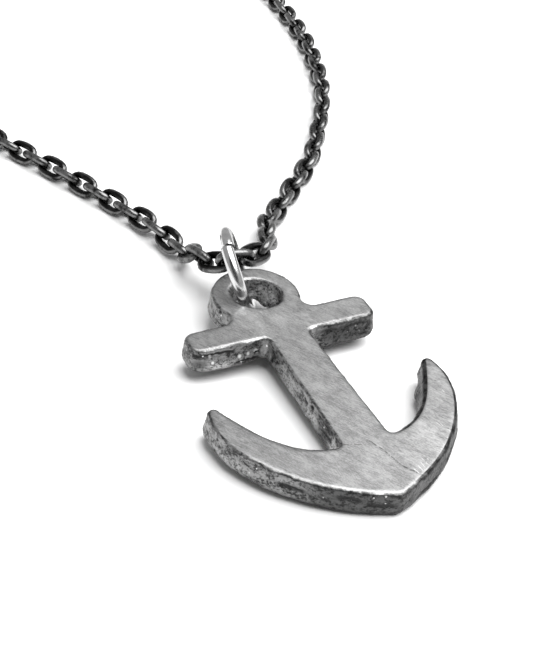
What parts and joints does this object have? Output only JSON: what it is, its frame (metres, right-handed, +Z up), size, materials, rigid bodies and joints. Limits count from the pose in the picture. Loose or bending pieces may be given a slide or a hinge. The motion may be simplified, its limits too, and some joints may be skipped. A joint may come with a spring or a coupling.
{
  "type": "anchor pendant necklace",
  "caption": "Thick flat anchor pendant with a pierced head on a heavy round jump ring, threaded on a fine cable chain necklace laid in a loop.",
  "frame": {"origin": "centre of the bounding box in plan, on the table that the necklace lies on", "axes": "+Z up from the table, +Y from the anchor's crown toward its head and the far end of the chain's loop, +X to the right when looking along +Y"},
  "size_m": [0.0842, 0.2316, 0.0081],
  "materials": {
    "anchor_silver": "brushed, filed by hand",
    "ring_silver": "polished",
    "oxidised_silver": "blackened, lightly worn"
  },
  "bodies": {
    "root": {"anchor": "anchor_silver", "jump_ring": "ring_silver", "chain": "oxidised_silver", "clasp": "oxidised_silver"}
  },
  "joints": []
}
